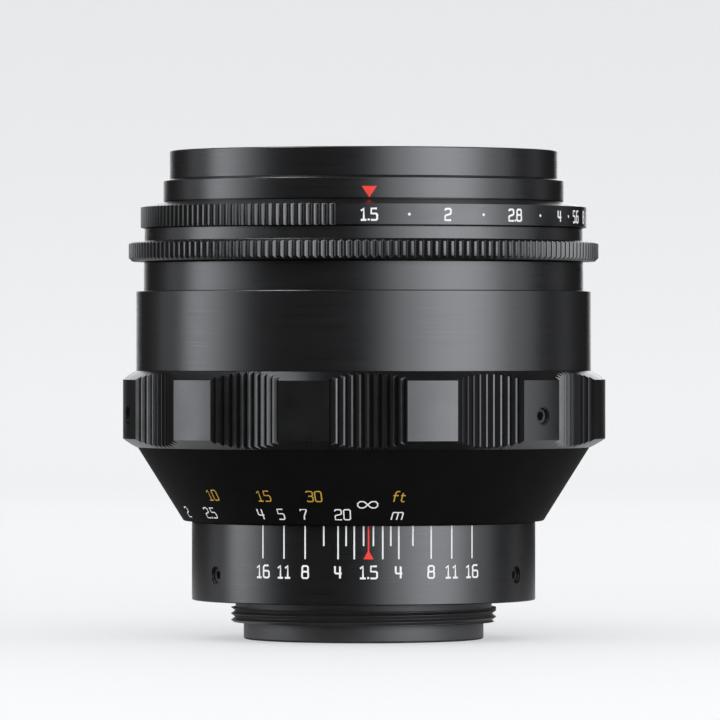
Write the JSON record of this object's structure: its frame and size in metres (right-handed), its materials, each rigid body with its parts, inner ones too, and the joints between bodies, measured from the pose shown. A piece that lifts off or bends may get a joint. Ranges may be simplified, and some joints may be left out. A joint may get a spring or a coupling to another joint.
{
  "type": "prime camera lens",
  "caption": "Black metal screw-mount prime lens with a scalloped focus ring, distance and depth scales, preset aperture rings, a bladed iris and a filter thread at the front.",
  "frame": {"origin": "centre of the rear face, on the optical axis, where the lens stands", "axes": "+Z along the optical axis towards the front glass; -Y towards the aperture index and the infinity mark"},
  "size_m": [0.0762, 0.0762, 0.0772],
  "materials": {
    "black_anodised": "black satin anodised, finely turned",
    "black_matte": "matte black anti-reflection finish",
    "mount_black": "black anodised, turned",
    "brass": "machined",
    "steel": "machined",
    "screw_black": "blackened",
    "blade_black": "blued steel",
    "coated_glass": "multicoated"
  },
  "bodies": {
    "base": {"mount_ring": "mount_black", "depth_scale_ring": "black_anodised", "mount_set_screws": "screw_black", "base_tube": "black_matte", "guide_keys": "brass", "guide_key_screws": "steel"},
    "focus": {"distance_scale_ring": "black_anodised", "helicoid_nut": "brass", "focus_sleeve": "black_anodised", "focus_grip": "black_anodised", "grip_set_screws": "screw_black", "focus_stop_pin": "steel"},
    "barrel": {"main_barrel": "black_anodised", "inner_helicoid": "brass", "iris_housing": "black_matte", "front_cell": "black_matte", "front_element": "coated_glass", "second_element": "coated_glass", "third_element": "coated_glass", "front_doublet_ring": "black_matte", "name_ring": "black_anodised", "filter_ring": "black_anodised", "index_ring": "black_anodised", "rear_cell": "black_matte", "rear_cell_screws": "steel", "fourth_element": "coated_glass", "fifth_element": "coated_glass", "rear_doublet_ring": "black_matte", "rear_element": "coated_glass", "rear_retaining_ring": "black_matte", "click_ball": "steel", "click_spring": "steel", "preset_stop_screw": "steel"},
    "preset": {"preset_ring": "black_anodised"},
    "aperture": {"aperture_ring": "black_anodised", "iris_drive_ring": "brass", "aperture_drive_screw": "steel"},
    "blade_01": {"iris_blade_01": "blade_black"},
    "blade_02": {"iris_blade_02": "blade_black"},
    "blade_03": {"iris_blade_03": "blade_black"},
    "blade_04": {"iris_blade_04": "blade_black"},
    "blade_05": {"iris_blade_05": "blade_black"},
    "blade_06": {"iris_blade_06": "blade_black"},
    "blade_07": {"iris_blade_07": "blade_black"},
    "blade_08": {"iris_blade_08": "blade_black"},
    "blade_09": {"iris_blade_09": "blade_black"},
    "blade_10": {"iris_blade_10": "blade_black"},
    "blade_11": {"iris_blade_11": "blade_black"},
    "blade_12": {"iris_blade_12": "blade_black"}
  },
  "joints": [
    {"name": "focus_turn", "type": "hinge", "parent": "base", "child": "focus", "pos_m": [0, 0, 0.0363], "axis": [0, 0, 1], "range_deg": [0, 228.63]},
    {"name": "barrel_slide", "type": "slide", "parent": "base", "child": "barrel", "axis": [0, 0, 1], "range_m": [0, 0.00953]},
    {"name": "preset_turn", "type": "hinge", "parent": "barrel", "child": "preset", "pos_m": [0, 0, 0.0666], "axis": [0, 0, 1], "range_deg": [-89, 0]},
    {"name": "aperture_turn", "type": "hinge", "parent": "barrel", "child": "aperture", "pos_m": [0, 0, 0.0612], "axis": [0, 0, 1], "range_deg": [-89, 0]},
    {"name": "blade_01_pivot", "type": "hinge", "parent": "barrel", "child": "blade_01", "pos_m": [0.00878, -0.02282, 0.03902], "axis": [0.0301, -0.1051, 0.994], "range_deg": [-40.36, 0]},
    {"name": "blade_02_pivot", "type": "hinge", "parent": "barrel", "child": "blade_02", "pos_m": [0.01901, -0.01538, 0.03902], "axis": [0.0787, -0.076, 0.994], "range_deg": [-40.36, 0]},
    {"name": "blade_03_pivot", "type": "hinge", "parent": "barrel", "child": "blade_03", "pos_m": [0.02415, -0.00381, 0.03902], "axis": [0.1061, -0.0265, 0.994], "range_deg": [-40.36, 0]},
    {"name": "blade_04_pivot", "type": "hinge", "parent": "barrel", "child": "blade_04", "pos_m": [0.02282, 0.00878, 0.03902], "axis": [0.1051, 0.0301, 0.994], "range_deg": [-40.36, 0]},
    {"name": "blade_05_pivot", "type": "hinge", "parent": "barrel", "child": "blade_05", "pos_m": [0.01538, 0.01901, 0.03902], "axis": [0.076, 0.0787, 0.994], "range_deg": [-40.36, 0]},
    {"name": "blade_06_pivot", "type": "hinge", "parent": "barrel", "child": "blade_06", "pos_m": [0.00381, 0.02415, 0.03902], "axis": [0.0265, 0.1061, 0.994], "range_deg": [-40.36, 0]},
    {"name": "blade_07_pivot", "type": "hinge", "parent": "barrel", "child": "blade_07", "pos_m": [-0.00878, 0.02282, 0.03902], "axis": [-0.0301, 0.1051, 0.994], "range_deg": [-40.36, 0]},
    {"name": "blade_08_pivot", "type": "hinge", "parent": "barrel", "child": "blade_08", "pos_m": [-0.01901, 0.01538, 0.03902], "axis": [-0.0787, 0.076, 0.994], "range_deg": [-40.36, 0]},
    {"name": "blade_09_pivot", "type": "hinge", "parent": "barrel", "child": "blade_09", "pos_m": [-0.02415, 0.00381, 0.03902], "axis": [-0.1061, 0.0265, 0.994], "range_deg": [-40.36, 0]},
    {"name": "blade_10_pivot", "type": "hinge", "parent": "barrel", "child": "blade_10", "pos_m": [-0.02282, -0.00878, 0.03902], "axis": [-0.1051, -0.0301, 0.994], "range_deg": [-40.36, 0]},
    {"name": "blade_11_pivot", "type": "hinge", "parent": "barrel", "child": "blade_11", "pos_m": [-0.01538, -0.01901, 0.03902], "axis": [-0.076, -0.0787, 0.994], "range_deg": [-40.36, 0]},
    {"name": "blade_12_pivot", "type": "hinge", "parent": "barrel", "child": "blade_12", "pos_m": [-0.00381, -0.02415, 0.03902], "axis": [-0.0265, -0.1061, 0.994], "range_deg": [-40.36, 0]}
  ],
  "couplings": [
    {"joint": "barrel_slide", "follows": "focus_turn", "m_per_rad": 0.0023873},
    {"joint": "blade_01_pivot", "follows": "aperture_turn", "ratio": 0.45341},
    {"joint": "blade_02_pivot", "follows": "aperture_turn", "ratio": 0.45341},
    {"joint": "blade_03_pivot", "follows": "aperture_turn", "ratio": 0.45341},
    {"joint": "blade_04_pivot", "follows": "aperture_turn", "ratio": 0.45341},
    {"joint": "blade_05_pivot", "follows": "aperture_turn", "ratio": 0.45341},
    {"joint": "blade_06_pivot", "follows": "aperture_turn", "ratio": 0.45341},
    {"joint": "blade_07_pivot", "follows": "aperture_turn", "ratio": 0.45341},
    {"joint": "blade_08_pivot", "follows": "aperture_turn", "ratio": 0.45341},
    {"joint": "blade_09_pivot", "follows": "aperture_turn", "ratio": 0.45341},
    {"joint": "blade_10_pivot", "follows": "aperture_turn", "ratio": 0.45341},
    {"joint": "blade_11_pivot", "follows": "aperture_turn", "ratio": 0.45341},
    {"joint": "blade_12_pivot", "follows": "aperture_turn", "ratio": 0.45341}
  ]
}
